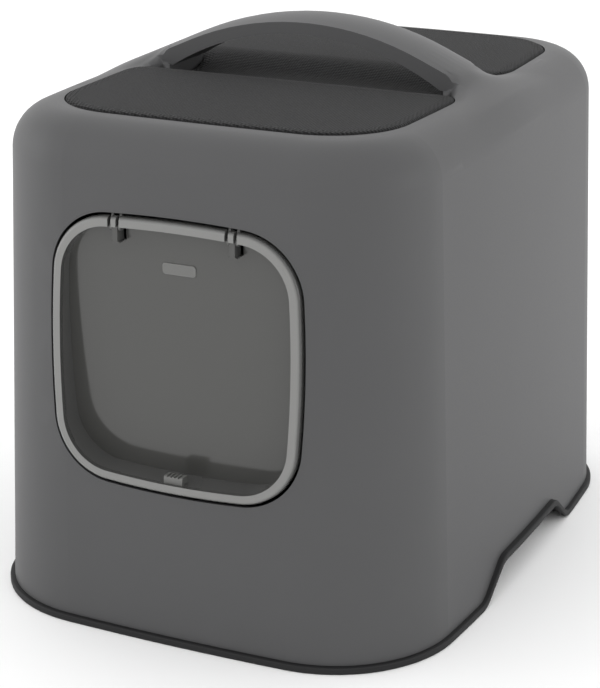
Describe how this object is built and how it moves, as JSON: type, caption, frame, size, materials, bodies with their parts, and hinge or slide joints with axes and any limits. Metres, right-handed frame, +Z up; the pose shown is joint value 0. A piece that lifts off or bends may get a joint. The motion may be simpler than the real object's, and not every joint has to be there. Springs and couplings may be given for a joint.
{
  "type": "hooded cat litter box",
  "caption": "Hooded litter box for a cat: a deep pan, a lift-off hood with a bridge handle, a fabric mat on its roof, and a clear flap that swings both ways.",
  "frame": {"origin": "on the floor, in the middle of the tray's flange", "axes": "+Z up, -Y towards the flap, +X to the right as seen by someone who faces the flap"},
  "size_m": [0.408, 0.5404, 0.4559],
  "materials": {
    "tray": "matte",
    "feet": "matte",
    "hood": "fine satin grain",
    "panel": "matte",
    "backing": "matte",
    "mat": "woven, dotted",
    "filter": "fibrous",
    "cover": "matte",
    "bracket": "satin",
    "pin": "satin",
    "flap": "clear, smoky, glossy",
    "plate": "satin, blank",
    "nub": "clear, ribbed"
  },
  "bodies": {
    "tray": {"litter_tray": "tray", "tray_foot_front_left": "feet", "tray_foot_front_right": "feet", "tray_foot_rear_left": "feet", "tray_foot_rear_right": "feet"},
    "hood": {"hood_shell": "hood", "roof_panel": "panel", "mat_backing": "backing", "mat_fabric": "mat", "charcoal_filter": "filter", "filter_cover": "cover", "hinge_bracket_left": "bracket", "hinge_bracket_right": "bracket", "hinge_pin_left": "pin", "hinge_pin_right": "pin"},
    "flap": {"flap_pane": "flap", "flap_plate": "plate", "flap_nub": "nub"}
  },
  "joints": [
    {"name": "hood_lift", "type": "slide", "parent": "tray", "child": "hood", "axis": [0, 0, 1], "range_m": [0, 0.13]},
    {"name": "flap_swing", "type": "hinge", "parent": "hood", "child": "flap", "pos_m": [0, -0.2504, 0.332], "axis": [1, 0, 0], "range_deg": [-60, 55]}
  ]
}
